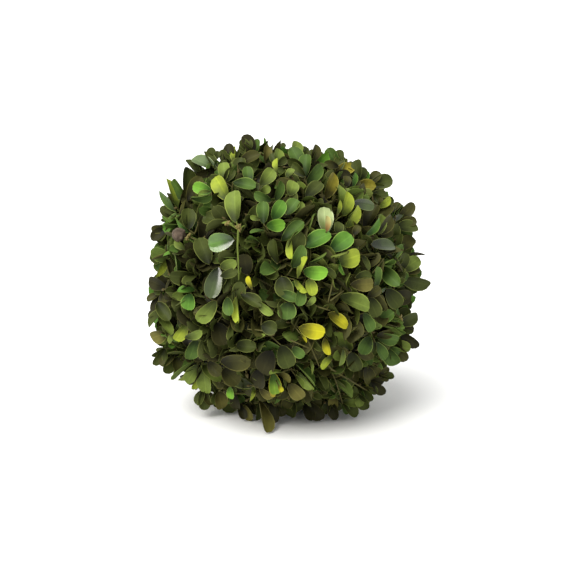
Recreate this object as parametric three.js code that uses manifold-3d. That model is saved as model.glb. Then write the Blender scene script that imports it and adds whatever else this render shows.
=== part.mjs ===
// A preserved box ball: cut sprigs of box set all round a round core, so that their leaves make
// one clipped ball. It lies loose on a flat surface. Millimetres, +Z up. The origin is on that
// surface, below the middle of the ball.

import * as THREE from "three";
import { mergeVertices } from "three/addons/utils/BufferGeometryUtils.js";
import Module from "manifold-3d";

const wasm = await Module();
wasm.setup();

// The ball
const CROWN_RADIUS = 86.5; // from the ball's centre to its leaf tips, where nothing swells
const CENTRE_HEIGHT = 86; // of the ball's centre above the surface that the ball lies on
const PRESS = 6; // most that a leaf tip is pushed up by that surface
const OUTLINE_TILT = 8; // degrees that the plane of the named swells leans back
// Broad swells of the crown: [degrees round the outline from the right, rise]
const OUTLINE_SWELLS = [
  [32, 4],
  [96, 13],
  [134, 9],
  [213, 6],
  [242, 5],
  [270, 6],
  [303, 8],
];
const SWELL_SPREAD = 0.045; // how fast a swell falls off round the ball

// The core
const CORE_RADIUS = 58;
const CORE_DETAIL = 3;
const SEAT_GAP = 0.3; // from the core to the cut end of each stem

// The sprigs
const SPRIG_COUNT = 20;
const SPRIG_JITTER = 0.06; // how far a sprig is set off its even place, on a ball of radius 1
const SHOOT_COUNT = 134; // over the whole ball, each on the sprig that is nearest to it
const SHOOT_JITTER = 0.04; // how far a shoot is set off its even place, on a ball of radius 1
const SHOOT_ROOM = 8; // from a shoot's tip to the bounds of its sprig's space
const FIRST_FORK = 3; // above the core
const FORK_STEP = 1.2; // from one fork to the next
const DRAW_IN = 0.1; // share of the way to its sprig's axis that a crowded shoot moves at a time
const FIRST_SHOOT_SEED = 100;
const TIP_DEPTH = 15.5; // from a shoot's tip out to the crown's outline
const DEPTH_SPREAD = 2;
const TWIG_SIDES = 3;
const STEM_RADIUS = 1.25;
const FORK_RADIUS = 1.0;
const TIP_RADIUS = 0.7;

// The leaves, in opposite pairs that turn a quarter from one pair to the next
const LEAF_LENGTH = 22;
const LEAF_WIDTH = 14.5;
const LEAF_THICKNESS = 0.7;
const LEAF_CUP = 1.1; // rise of a leaf's edges over its middle
const LEAF_SIDES = 5;
const ROOT_DEPTH = 0.2; // of a leaf's root past the middle line of its twig
const PAIRS = [
  // back: from the shoot's tip; splay: degrees off the shoot; size: share of LEAF_LENGTH
  { back: 0.5, splay: 40, size: 0.92 },
  { back: 4.5, splay: 68, size: 1.04 },
];
const SIZE_SPREAD = 0.26;
const SPLAY_SPREAD = 16; // degrees
const TURN_SPREAD = 24; // degrees
const ROLL_SPREAD = 36; // degrees
const CROSSING_RANGE = 1.4 * LEAF_LENGTH; // leaves whose ridges are further apart can't cross
const ROOT_OVERLAP = 0.4; // cubic millimetres that two leaves may share in their twig
const TRIES = 18; // at a place for each leaf, each with the three steps below
const TURN_STEP = 31; // degrees on round the shoot
const FOLD_STEP = 0.93; // to this share of the splay
const SHRINK_STEP = 0.97; // to this share of the size
const CELL_MARGIN = 0.2; // from a sprig's leaves to the bounds of its space
const CORE_MARGIN = 1; // from a leaf's corners to the core
const STEEPEST_LIFT = 3; // rise for a run of 1 that a leaf under the ball is turned up by, at most
const HALVINGS = 24; // in the search for the rise that lays it on the surface

// The fusing of a sprig
const MELT = 0.3; // edges and steps under this size are melted away
const MELT_STEP = 1.15; // and more is melted, in such steps, until the sprig's surface is closed
const WELD = 0.001; // corners closer than this are one

const degrees = THREE.MathUtils.degToRad;
const UP = new THREE.Vector3(0, 0, 1);

// Random numbers from 0 to 1 that are the same on every run for the same seed.
function seeded(seed) {
  const modulus = 4294967296;
  let state = (seed * 2654435761) % modulus;
  const next = () => {
    state = (state * 1664525 + 1013904223) % modulus;
    return state / modulus;
  };
  next();
  next();
  return next;
}

// A random amount to either side of nothing, with `width` from its least to its most.
function spread(random, width) {
  return (random() - 0.5) * width;
}

// A direction that leans from an axis by `lean` radians, towards the angle `around`.
function leaning(axis, lean, around) {
  const side = new THREE.Vector3(0, 1, 0).cross(axis);
  if (side.length() < 0.2) side.set(1, 0, 0).cross(axis);
  side.normalize();
  const other = new THREE.Vector3().crossVectors(axis, side);
  return axis
    .clone()
    .multiplyScalar(Math.cos(lean))
    .addScaledVector(side, Math.sin(lean) * Math.cos(around))
    .addScaledVector(other, Math.sin(lean) * Math.sin(around));
}

// Directions spread evenly over a ball by the golden angle, and each set a little off.
function spreadDirections(count, jitter, random) {
  const goldenAngle = Math.PI * (3 - Math.sqrt(5));
  return Array.from({ length: count }, (_, i) => {
    const z = -1 + (2 * (i + 0.5)) / count;
    const ring = Math.sqrt(1 - z * z);
    const place = new THREE.Vector3(
      ring * Math.cos(i * goldenAngle) + spread(random, jitter),
      ring * Math.sin(i * goldenAngle) + spread(random, jitter),
      z + spread(random, jitter),
    );
    return place.normalize();
  });
}
const AXES = spreadDirections(SPRIG_COUNT, SPRIG_JITTER, seeded(1));
const SHOOT_DIRECTIONS = spreadDirections(SHOOT_COUNT, SHOOT_JITTER, seeded(3));

// The middle of each named swell, on a ball of radius 1.
const SWELLS = OUTLINE_SWELLS.map(([angle, rise]) => {
  const up = new THREE.Vector3(0, Math.sin(degrees(OUTLINE_TILT)), Math.cos(degrees(OUTLINE_TILT)));
  const toward = new THREE.Vector3(Math.cos(degrees(angle)), 0, 0);
  return { toward: toward.addScaledVector(up, Math.sin(degrees(angle))), rise };
});

// How far the leaf tips reach from the ball's centre in a direction.
function reach(direction) {
  let radius = CROWN_RADIUS;
  for (const { toward, rise } of SWELLS) {
    radius += rise * Math.exp((direction.dot(toward) - 1) / SWELL_SPREAD);
  }
  return direction.z < 0 ? Math.min(radius, (CENTRE_HEIGHT + PRESS) / -direction.z) : radius;
}

// The distance from a point to the nearest bound of a sprig's space. Each bound is the plane
// through the ball's centre midway between two sprigs' axes.
function roomInSpace(sprig, point) {
  let room = Infinity;
  AXES.forEach((axis, other) => {
    if (other === sprig) return;
    const across = new THREE.Vector3().subVectors(AXES[sprig], axis).normalize();
    room = Math.min(room, across.dot(point));
  });
  return room;
}

// The place of a shoot's tip, drawn in towards its sprig's axis until it has room round it.
function tipOf(sprig, direction, depth) {
  const leaned = direction.clone();
  const tip = () => leaned.clone().multiplyScalar(reach(leaned) - depth);
  while (roomInSpace(sprig, tip()) < SHOOT_ROOM) leaned.lerp(AXES[sprig], DRAW_IN).normalize();
  return tip();
}

// A sprig's shoots: each has the place where it forks from the stem, its tip, and the random
// numbers that its leaves are drawn from.
function shootsOf(sprig) {
  const axis = AXES[sprig];
  const shoots = [];
  SHOOT_DIRECTIONS.forEach((direction, i) => {
    if (roomInSpace(sprig, direction) < 0) return;
    const random = seeded(FIRST_SHOOT_SEED + i);
    const height = CORE_RADIUS + FIRST_FORK + shoots.length * FORK_STEP;
    const fork = axis.clone().multiplyScalar(height);
    const tip = tipOf(sprig, direction, TIP_DEPTH + spread(random, DEPTH_SPREAD));
    shoots.push({ fork, tip, random });
  });
  return shoots;
}

// The frame of a leaf: its root, the way that it points, and the side that its face looks to.
function leafFrame(root, pointing, facing, roll) {
  const x = pointing.clone().normalize();
  const z = facing.clone().addScaledVector(x, -facing.dot(x)).normalize();
  z.applyAxisAngle(x, roll);
  const y = new THREE.Vector3().crossVectors(z, x);
  return new THREE.Matrix4().makeBasis(x, y, z).setPosition(root);
}

// A leaf along +X from the origin with its face to +Z: a five-sided double pyramid, drawn out to
// an outline that is narrow at its root and broad and blunt at its tip, with its edges raised.
function leafGeometry(size) {
  const leaf = new THREE.SphereGeometry(1, LEAF_SIDES, 2);
  leaf.rotateX(Math.PI / 2);
  const rootX = -1;
  const tipX = Math.cos(Math.PI / LEAF_SIDES);
  const outlinePower = 0.72;
  const ridge = 0.4;
  const corners = leaf.getAttribute("position");
  for (let i = 0; i < corners.count; i += 1) {
    const along = (corners.getX(i) - rootX) / (tipX - rootX);
    const across = corners.getY(i);
    const isRidge = Math.abs(corners.getZ(i)) > 0.5;
    const x = isRidge ? ridge : Math.pow(Math.max(along, 0), outlinePower);
    const cup = isRidge ? 0 : across * across * LEAF_CUP;
    corners.setXYZ(
      i,
      x * (size * LEAF_LENGTH + ROOT_DEPTH) - ROOT_DEPTH,
      (across * size * LEAF_WIDTH) / 2,
      cup + (corners.getZ(i) * LEAF_THICKNESS) / 2,
    );
  }
  return leaf;
}

// Every corner of a geometry once it is placed by a matrix.
function placedCorners(geometry, matrix) {
  const corners = geometry.getAttribute("position");
  return Array.from({ length: corners.count }, (_, i) =>
    new THREE.Vector3().fromBufferAttribute(corners, i).applyMatrix4(matrix),
  );
}

// The leaf's frame turned up about its root until no corner is below the surface that the ball
// lies on, so that the leaves under the ball lie flat on that surface.
function laidDown(geometry, root, pointing, facing, roll) {
  const lifted = (lift) =>
    leafFrame(root, pointing.clone().addScaledVector(UP, lift), facing, roll);
  const lowest = (matrix) =>
    Math.min(...placedCorners(geometry, matrix).map((corner) => corner.z)) + CENTRE_HEIGHT;
  if (lowest(lifted(0)) >= 0) return lifted(0);
  let low = 0;
  let high = STEEPEST_LIFT;
  for (let i = 0; i < HALVINGS; i += 1) {
    const middle = (low + high) / 2;
    if (lowest(lifted(middle)) < 0) low = middle;
    else high = middle;
  }
  return lifted(high);
}

// Whether a leaf runs through another, more than they meet where both are rooted in one twig.
function crosses(leaf, other) {
  return leaf.ridge.distanceTo(other.ridge) < CROSSING_RANGE
    && leaf.solid.intersect(other.solid).volume() > ROOT_OVERLAP;
}

// A leaf as a solid, or nothing where it leaves its sprig's space or crosses another leaf.
function leafIn(sprig, leaves, geometry, matrix) {
  const corners = placedCorners(geometry, matrix);
  if (corners.some((corner) => corner.length() < CORE_RADIUS + CORE_MARGIN)) return null;
  if (corners.some((corner) => roomInSpace(sprig, corner) < CELL_MARGIN)) return null;
  const leaf = { solid: solidOf(geometry.applyMatrix4(matrix)), ridge: corners[0] };
  return leaves.some((other) => crosses(leaf, other)) ? null : leaf;
}

// The leaves of a sprig. One that has no room is tried again, turned on round its shoot, closer
// to it and smaller, and is left out if it never fits.
function leavesOf(sprig, shoots) {
  const leaves = [];
  for (const { fork, tip, random } of shoots) {
    const along = new THREE.Vector3().subVectors(tip, fork).normalize();
    const start = random() * Math.PI;
    PAIRS.forEach((pair, p) => {
      for (const half of [0, 1]) {
        const size = pair.size * (1 + spread(random, SIZE_SPREAD));
        const splay = degrees(pair.splay + spread(random, SPLAY_SPREAD));
        const roll = degrees(spread(random, ROLL_SPREAD));
        const around = start + (p * Math.PI) / 2 + half * Math.PI + degrees(spread(random, TURN_SPREAD));
        const root = tip.clone().addScaledVector(along, -pair.back);
        let leaf = null;
        for (let t = 0; t < TRIES && !leaf; t += 1) {
          const geometry = leafGeometry(size * SHRINK_STEP ** t);
          const turned = around + degrees(TURN_STEP) * t;
          const pointing = leaning(along, splay * FOLD_STEP ** t, turned);
          leaf = leafIn(sprig, leaves, geometry, laidDown(geometry, root, pointing, along, roll));
        }
        if (leaf) leaves.push(leaf);
      }
    });
  }
  return leaves.map((leaf) => leaf.solid);
}

// A straight tapering length of twig from one point to another.
function twigGeometry(from, to, fromRadius, toRadius) {
  const length = from.distanceTo(to);
  const twig = new THREE.CylinderGeometry(toRadius, fromRadius, length, TWIG_SIDES);
  twig.translate(0, length / 2, 0);
  const turn = new THREE.Quaternion().setFromUnitVectors(
    new THREE.Vector3(0, 1, 0),
    new THREE.Vector3().subVectors(to, from).normalize(),
  );
  return twig.applyQuaternion(turn).translate(from.x, from.y, from.z);
}

// A closed geometry as a manifold-3d solid.
function solidOf(geometry) {
  const bare = new THREE.BufferGeometry();
  bare.setAttribute("position", geometry.getAttribute("position"));
  bare.setIndex(geometry.getIndex());
  const merged = mergeVertices(bare, WELD);
  const vertProperties = new Float32Array(merged.getAttribute("position").array);
  const triVerts = new Uint32Array(merged.getIndex().array);
  return new wasm.Manifold(new wasm.Mesh({ numProp: 3, vertProperties, triVerts }));
}

// The largest body of a solid, as a geometry. Scraps that touch nothing are dropped.
function geometryOf(solid) {
  const bodies = solid.decompose().sort((a, b) => b.volume() - a.volume());
  const mesh = bodies[0].getMesh();
  const geometry = new THREE.BufferGeometry();
  geometry.setAttribute("position", new THREE.BufferAttribute(mesh.vertProperties, 3));
  geometry.setIndex(new THREE.BufferAttribute(mesh.triVerts, 1));
  return mergeVertices(geometry, WELD);
}

// Whether each edge of a geometry is shared by two of its faces, apart from faces with no width.
function isClosed(geometry) {
  const corners = geometry.getIndex().array;
  const sharers = new Map();
  for (let i = 0; i < corners.length; i += 3) {
    const [a, b, c] = corners.subarray(i, i + 3);
    if (a === b || b === c || c === a) continue;
    for (const [from, to] of [[a, b], [b, c], [c, a]]) {
      const edge = `${Math.min(from, to)} ${Math.max(from, to)}`;
      sharers.set(edge, (sharers.get(edge) ?? 0) + 1);
    }
  }
  return [...sharers.values()].every((count) => count === 2);
}

// How far a solid's surface is from the ball's centre along a direction.
function surfaceAlong(direction, mesh) {
  const outside = direction.clone().multiplyScalar(2 * CROWN_RADIUS);
  const inward = new THREE.Raycaster(outside, direction.clone().negate());
  return outside.length() - inward.intersectObject(mesh)[0].distance;
}

// One cut sprig: a stem from the core, its shoots, and the leaves fused to them.
function sprigGeometry(sprig, core) {
  const shoots = shootsOf(sprig);
  const foot = AXES[sprig].clone().multiplyScalar(surfaceAlong(AXES[sprig], core) + SEAT_GAP);
  const top = shoots[shoots.length - 1].fork;
  const twigs = [twigGeometry(foot, top, STEM_RADIUS, FORK_RADIUS)];
  for (const { fork, tip } of shoots) twigs.push(twigGeometry(fork, tip, FORK_RADIUS, TIP_RADIUS));
  const solids = [...twigs.map(solidOf), ...leavesOf(sprig, shoots)];
  const joined = solids.reduce((whole, solid) => whole.add(solid)).asOriginal();
  let melt = MELT;
  let geometry = geometryOf(joined.simplify(melt));
  while (!isClosed(geometry)) {
    melt *= MELT_STEP;
    geometry = geometryOf(joined.simplify(melt));
  }
  geometry.computeVertexNormals();
  return geometry;
}

const leafGreen = new THREE.MeshStandardMaterial({
  color: 0x4b5d27,
  roughness: 0.5,
  metalness: 0,
});
const darkMoss = new THREE.MeshStandardMaterial({ color: 0x2a2118, roughness: 1, metalness: 0 });

const ball = new THREE.Group();

const core = new THREE.Mesh(new THREE.IcosahedronGeometry(CORE_RADIUS, CORE_DETAIL), darkMoss);
core.name = "core_ball";
ball.add(core);

for (let sprig = 0; sprig < SPRIG_COUNT; sprig += 1) {
  const mesh = new THREE.Mesh(sprigGeometry(sprig, core), leafGreen);
  mesh.name = `sprig_${String(sprig + 1).padStart(2, "0")}`;
  ball.add(mesh);
}

// The middle of the ball's outline stands over the origin.
const outline = new THREE.Box3().setFromObject(ball, true);
const middle = outline.getCenter(new THREE.Vector3());
ball.position.set(-middle.x, -middle.y, CENTRE_HEIGHT);

export default ball;
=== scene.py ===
# The looks of a preserved box ball: leaves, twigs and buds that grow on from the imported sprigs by
# the same rule, round a core of dark moss. Growth is worked out in millimetres from the ball's
# centre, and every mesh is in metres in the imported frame.

import math

import bmesh
import bpy
import numpy as np
from mathutils import Matrix, Quaternion, Vector, noise


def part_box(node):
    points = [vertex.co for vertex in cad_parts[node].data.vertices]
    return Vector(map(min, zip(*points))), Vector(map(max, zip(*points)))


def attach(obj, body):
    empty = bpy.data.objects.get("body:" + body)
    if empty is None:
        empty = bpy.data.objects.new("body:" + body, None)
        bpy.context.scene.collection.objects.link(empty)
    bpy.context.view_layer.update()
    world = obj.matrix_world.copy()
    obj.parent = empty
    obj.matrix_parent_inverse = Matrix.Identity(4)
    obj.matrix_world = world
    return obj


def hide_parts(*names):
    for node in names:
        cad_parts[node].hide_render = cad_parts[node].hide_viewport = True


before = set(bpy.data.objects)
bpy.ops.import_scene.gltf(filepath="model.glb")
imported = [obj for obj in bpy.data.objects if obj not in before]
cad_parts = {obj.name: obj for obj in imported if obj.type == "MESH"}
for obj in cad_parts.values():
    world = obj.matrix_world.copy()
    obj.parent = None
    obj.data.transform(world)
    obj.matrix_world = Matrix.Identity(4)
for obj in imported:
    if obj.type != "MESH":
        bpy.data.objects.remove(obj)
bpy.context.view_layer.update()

MM = 0.001
UP = Vector((0, 0, 1))
RIGHT = Vector((1, 0, 0))

# The ball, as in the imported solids
CROWN_RADIUS = 86.5
CENTRE_HEIGHT = 86
PRESS = 6
OUTLINE_TILT = 8  # degrees
OUTLINE_SWELLS = [(32, 4), (96, 13), (134, 9), (213, 6), (242, 5), (270, 6), (303, 8)]
SWELL_SPREAD = 0.045
CORE_RADIUS = 58
SPRIG_COUNT = 20
SPRIG_JITTER = 0.06
SHOOT_COUNT = 134
SHOOT_JITTER = 0.04
SHOOT_ROOM = 8
FIRST_FORK = 3
FORK_STEP = 1.2
DRAW_IN = 0.1
FIRST_SHOOT_SEED = 100
TIP_DEPTH = 15.5
DEPTH_SPREAD = 2
STEM_RADIUS = 1.25
FORK_RADIUS = 1.0

# The finer twigs that each shoot forks into near its tip
TWIG_COUNT = 380  # over the whole ball
TWIG_JITTER = 0.09
TWIG_ROOM = 2  # from a twig's tip to the bounds of its sprig's space
TWIG_FORK = 0.55  # share of the shoot below the place where its twigs fork off
TWIG_FORK_STEP = 0.09
TWIG_DEPTH = 11.5
TWIG_DEPTH_SPREAD = 6
FIRST_TWIG_SEED = 1000
SHOOT_TIP_RADIUS = 0.75
TWIG_MIDDLE_RADIUS = 0.6
TWIG_TIP_RADIUS = 0.45
TWIG_BOW = 1.01  # times as far out as on a straight twig, where its middle lies
TWIG_END = 0.8  # share of a twig, past which it is kept clear of the leaves set at the front
BUD_ROOM = 2  # from a twig's tip to the end of its bud
STALK_RADII = (0.5, 0.35)  # of the stalk of a set leaf, where it starts and at the leaf
FOOT_IN_CORE = 1  # by which a stem starts inside the core
HOLD_BELOW = 1  # least depth at which a stalk starts, in from the place that it leads to
# Shares of the shoots and of the twigs at which other stalks may start
SHOOT_HOLDS = (0.4, 0.6, 0.8, 1)
TWIG_HOLDS = (0.3, 0.6, 0.9)

# The leaves: opposite pairs that turn a quarter from one pair to the next
LEAF_LENGTH = 18.0
LEAF_WIDTH = 9.8
LEAF_THICKNESS = 0.32
WIDEST_AT = 0.68  # share of a leaf's length from its root
LEAF_SAG = 1.6  # how far a bent leaf may hang below its corners
# Back from the twig's tip, degrees of splay, share of the leaf's length
LEAF_PAIRS = [(0.2, 38, 0.84), (3.0, 58, 1.0), (7.0, 74, 1.05), (12.0, 84, 0.98)]
SIZE_SPREAD = 0.34
WIDTH_SPREAD = 0.22
SPLAY_SPREAD = 26
TURN_SPREAD = 34
ROLL_SPREAD = 60
REACH_MARGIN = 1.5  # that a leaf tip may stand past the outline
CORE_MARGIN = 1
MOSS_DEPTH = 3  # of the loose moss on the core
STEEPEST_LIFT = 3
HALVINGS = 16
NEARLY_ALONG = 0.2  # where one side direction is too near an axis, and another is used
SPRIG_SEED, SHOOT_SEED, TWIG_SEED, SET_SEED, KNOT_SEED = 1, 3, 5, 7, 9

# The view from the front, a little down on the ball
FRAME_WIDTH = 0.3605  # that the camera sees at the ball
CAMERA_ELEVATION = 15
CAMERA_DISTANCE = 1.1
TILT = math.radians(CAMERA_ELEVATION)
FRONT = Vector((0, -math.cos(TILT), math.sin(TILT)))
FRONT_UP = Vector((0, math.sin(TILT), math.cos(TILT)))

# Dips of the leaf tips in from the outline: degrees round it from the right, depth
OUTLINE_DIPS = [(92, 10), (178, 2), (352, 2)]

# The ball's centre is the middle of its core.
core_low, core_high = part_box("core_ball")
CENTRE = (core_low + core_high) / 2

# The random numbers' rule: a product and a sum, of which the lowest 32 bits are kept
MODULUS = 2**32
SEED_FACTOR, STEP_FACTOR, STEP = 2654435761, 1664525, 1013904223


def seeded(seed):
    """Random numbers from 0 to 1, the same on every run for the same seed, as in the solids."""
    state = (seed * SEED_FACTOR) % MODULUS

    def draw():
        nonlocal state
        state = (state * STEP_FACTOR + STEP) % MODULUS
        return state / MODULUS

    draw()
    draw()
    return draw


def spread(draw, width):
    """A random amount to either side of nothing, with width from its least to its most."""
    return (draw() - 0.5) * width


def leaning(axis, lean, around):
    """A direction that leans from an axis by lean radians, towards the angle around."""
    side = Vector((0, 1, 0)).cross(axis)
    if side.length < NEARLY_ALONG:
        side = RIGHT.cross(axis)
    side.normalize()
    other = axis.cross(side)
    outward = side * math.cos(around) + other * math.sin(around)
    return axis * math.cos(lean) + outward * math.sin(lean)


def spread_directions(count, jitter, draw):
    """Directions spread evenly over a ball by the golden angle, and each set a little off."""
    golden_angle = math.pi * (3 - math.sqrt(5))
    directions = []
    for i in range(count):
        z = -1 + 2 * (i + 0.5) / count
        ring = math.sqrt(1 - z * z)
        x = ring * math.cos(i * golden_angle) + spread(draw, jitter)
        y = ring * math.sin(i * golden_angle) + spread(draw, jitter)
        directions.append(Vector((x, y, z + spread(draw, jitter))).normalized())
    return directions


AXES = spread_directions(SPRIG_COUNT, SPRIG_JITTER, seeded(SPRIG_SEED))
SHOOT_DIRECTIONS = spread_directions(SHOOT_COUNT, SHOOT_JITTER, seeded(SHOOT_SEED))
TWIG_DIRECTIONS = spread_directions(TWIG_COUNT, TWIG_JITTER, seeded(TWIG_SEED))


def round_outline(amounts):
    """The middle of each swell or dip of the crown, on a ball of radius 1, and its amount."""
    tilt = math.radians(OUTLINE_TILT)
    up = Vector((0, math.sin(tilt), math.cos(tilt)))
    for angle, amount in amounts:
        turn = math.radians(angle)
        yield RIGHT * math.cos(turn) + up * math.sin(turn), amount


SWELLS = list(round_outline(OUTLINE_SWELLS))
DIPS = list(round_outline(OUTLINE_DIPS))


def reach(direction):
    """How far the leaf tips reach from the ball's centre in a direction."""
    radius = CROWN_RADIUS
    for toward, rise in SWELLS:
        radius += rise * math.exp((direction.dot(toward) - 1) / SWELL_SPREAD)
    if direction.z < 0:
        radius = min(radius, (CENTRE_HEIGHT + PRESS) / -direction.z)
    return radius


def dip(direction):
    """How far the finer leaves draw in from the outline in a direction."""
    return sum(depth * math.exp((direction.dot(at) - 1) / SWELL_SPREAD) for at, depth in DIPS)


def room_in_space(sprig, point):
    """The distance from a point to the nearest bound of a sprig's space."""
    others = [axis for other, axis in enumerate(AXES) if other != sprig]
    return min((AXES[sprig] - axis).normalized().dot(point) for axis in others)


def tip_of(sprig, direction, depth, room):
    """The place of a tip, drawn in towards its sprig's axis until it has room round it."""
    leaned = direction.copy()
    tip = leaned * (reach(leaned) - depth)
    while room_in_space(sprig, tip) < room:
        leaned = leaned.lerp(AXES[sprig], DRAW_IN).normalized()
        tip = leaned * (reach(leaned) - depth)
    return tip


def shoots_of(sprig):
    """A sprig's shoots, as in the solids: where each forks from the stem, and its tip."""
    shoots = []
    for i, direction in enumerate(SHOOT_DIRECTIONS):
        if room_in_space(sprig, direction) < 0:
            continue
        draw = seeded(FIRST_SHOOT_SEED + i)
        height = CORE_RADIUS + FIRST_FORK + len(shoots) * FORK_STEP
        depth = TIP_DEPTH + spread(draw, DEPTH_SPREAD)
        tip = tip_of(sprig, direction, depth, SHOOT_ROOM)
        shoots.append((AXES[sprig] * height, tip))
    return shoots


def twigs_of(sprig, shoots):
    """The finer twigs of a sprig's shoots: where each forks off, its tip and its own draws."""
    twigs = []
    carried = [0] * len(shoots)
    for i, direction in enumerate(TWIG_DIRECTIONS):
        if room_in_space(sprig, direction) < 0:
            continue
        draw = seeded(FIRST_TWIG_SEED + i)
        depth = TWIG_DEPTH + spread(draw, TWIG_DEPTH_SPREAD)
        tip = tip_of(sprig, direction, depth + dip(direction), TWIG_ROOM)
        nearest = min(range(len(shoots)), key=lambda s: (shoots[s][1] - tip).length)
        fork, shoot_tip = shoots[nearest]
        share = TWIG_FORK + TWIG_FORK_STEP * carried[nearest]
        carried[nearest] += 1
        twigs.append((fork.lerp(shoot_tip, min(share, 1)), tip, draw))
    return twigs


def leaf_frame(root, pointing, facing, roll):
    """The frame of a leaf: along +X from its root, with its upper face to +Z."""
    x = pointing.normalized()
    z = (facing - x * facing.dot(x)).normalized()
    z = Quaternion(x, roll) @ z
    y = z.cross(x)
    turned = Matrix((x, y, z)).transposed().to_4x4()
    return Matrix.Translation(root) @ turned


def leaf_corners(leaf, length, width):
    """The tip and the two widest places of a leaf."""
    places = [(length, 0), (WIDEST_AT * length, width / 2), (WIDEST_AT * length, -width / 2)]
    return [leaf @ Vector((x, y, 0)) for x, y in places]


def laid_down(root, pointing, facing, roll, length, width):
    """The leaf's frame, turned up about its root until it is clear of the surface below."""

    def lifted(lift):
        leaf = leaf_frame(root, pointing + UP * lift, facing, roll)
        lowest = min(corner.z for corner in leaf_corners(leaf, length, width))
        return leaf, lowest + CENTRE_HEIGHT - LEAF_SAG

    leaf, clearance = lifted(0)
    if clearance >= 0:
        return leaf
    low, high = 0, STEEPEST_LIFT
    for _ in range(HALVINGS):
        middle = (low + high) / 2
        if lifted(middle)[1] < 0:
            low = middle
        else:
            high = middle
    return lifted(high)[0]


# Finishes of the preserved leaves, whose green has faded by different amounts, with painted light
# or shade in some, as said at each: sRGB colours of the upper face in light and in deep tone, the
# underside and the rim. The deep tone, which the leaf's root takes, holds painted shade as well.
LEAF_FINISHES = {
    "bright_green": ("#6f9f33", "#466b26", "#678538", "#a4c25a"),
    "vivid_green": ("#567d2e", "#365620", "#5f7835", "#93b050"),
    "mid_green": ("#4c642b", "#30421b", "#52622b", "#86994a"),
    "light_olive": ("#6e7f37", "#444e22", "#667034", "#97a34f"),
    "deep_olive": ("#424a21", "#2a3014", "#434925", "#788040"),
    "brown_olive": ("#434320", "#282814", "#414124", "#686531"),
    "khaki": ("#6b6733", "#403d1c", "#5f5c33", "#898549"),
    # Very dark leaves, and painted deep shade for leaves that lie in the shade of others
    "umber": ("#302f19", "#1c1c0f", "#302f1b", "#4f4d29"),
    "yellow_green": ("#98a636", "#56632a", "#7a863c", "#a7b044"),
    "yellow": ("#b2ad23", "#5c5b22", "#8c8833", "#c6c24c"),
    "ochre": ("#867e29", "#46431a", "#6e6934", "#a39a4c"),
    # Painted sheen: grey-green that stands for the sky mirrored on a glossy green leaf
    "grey_green": ("#66774f", "#435432", "#66734a", "#a3ad7e"),
    "sage": ("#a3b07c", "#7b8a4a", "#929c68", "#c6cea2"),
    "cream": ("#acab6c", "#a07e48", "#9a985f", "#c2c486"),
    "burnt_tip": ("#7c9c32", "#435e23", "#6a8039", "#c8b636"),
    "glossy_green": ("#52752b", "#314a19", "#546632", "#7c9544"),
    "glossy_olive": ("#3e4c25", "#242e15", "#414928", "#747e48"),
}
# Least and most roughness, strength of the shine and of the ripples. The wax of an upper face gives
# a soft sheen, where it is smooth it mirrors the window, and the underside is dull.
WAX = ((0.36, 0.5), 0.09, 0.3)
GLOSSY_WAX = ((0.16, 0.26), 0.7, 0.12)
UNDERSIDE = ((0.6, 0.7), 0.06, 0.35)
# Share of the grown sprays in each finish at the ball's top and at its foot
FINISH_SHARES = {
    "vivid_green": (0.12, 0.04),
    "mid_green": (0.36, 0.20),
    "deep_olive": (0.38, 0.46),
    "brown_olive": (0.07, 0.24),
    "yellow_green": (0.05, 0.04),
    "yellow": (0.01, 0.01),
    "ochre": (0.01, 0.01),
}
# The same at the front, where the brighter leaves are the ones set one by one
FRONT_SHARES = {
    "mid_green": (0.24, 0.12),
    "light_olive": (0.06, 0.02),
    "deep_olive": (0.42, 0.40),
    "brown_olive": (0.16, 0.28),
    # partly painted deep shade among the set leaves
    "umber": (0.12, 0.18),
}
FRONT_FROM = 0.2  # how far a direction has to face the front for those shares
ODD_LEAVES = 0.25  # share of a spray's leaves that are dealt a finish of their own
LEAF_FORMS = 6
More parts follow.
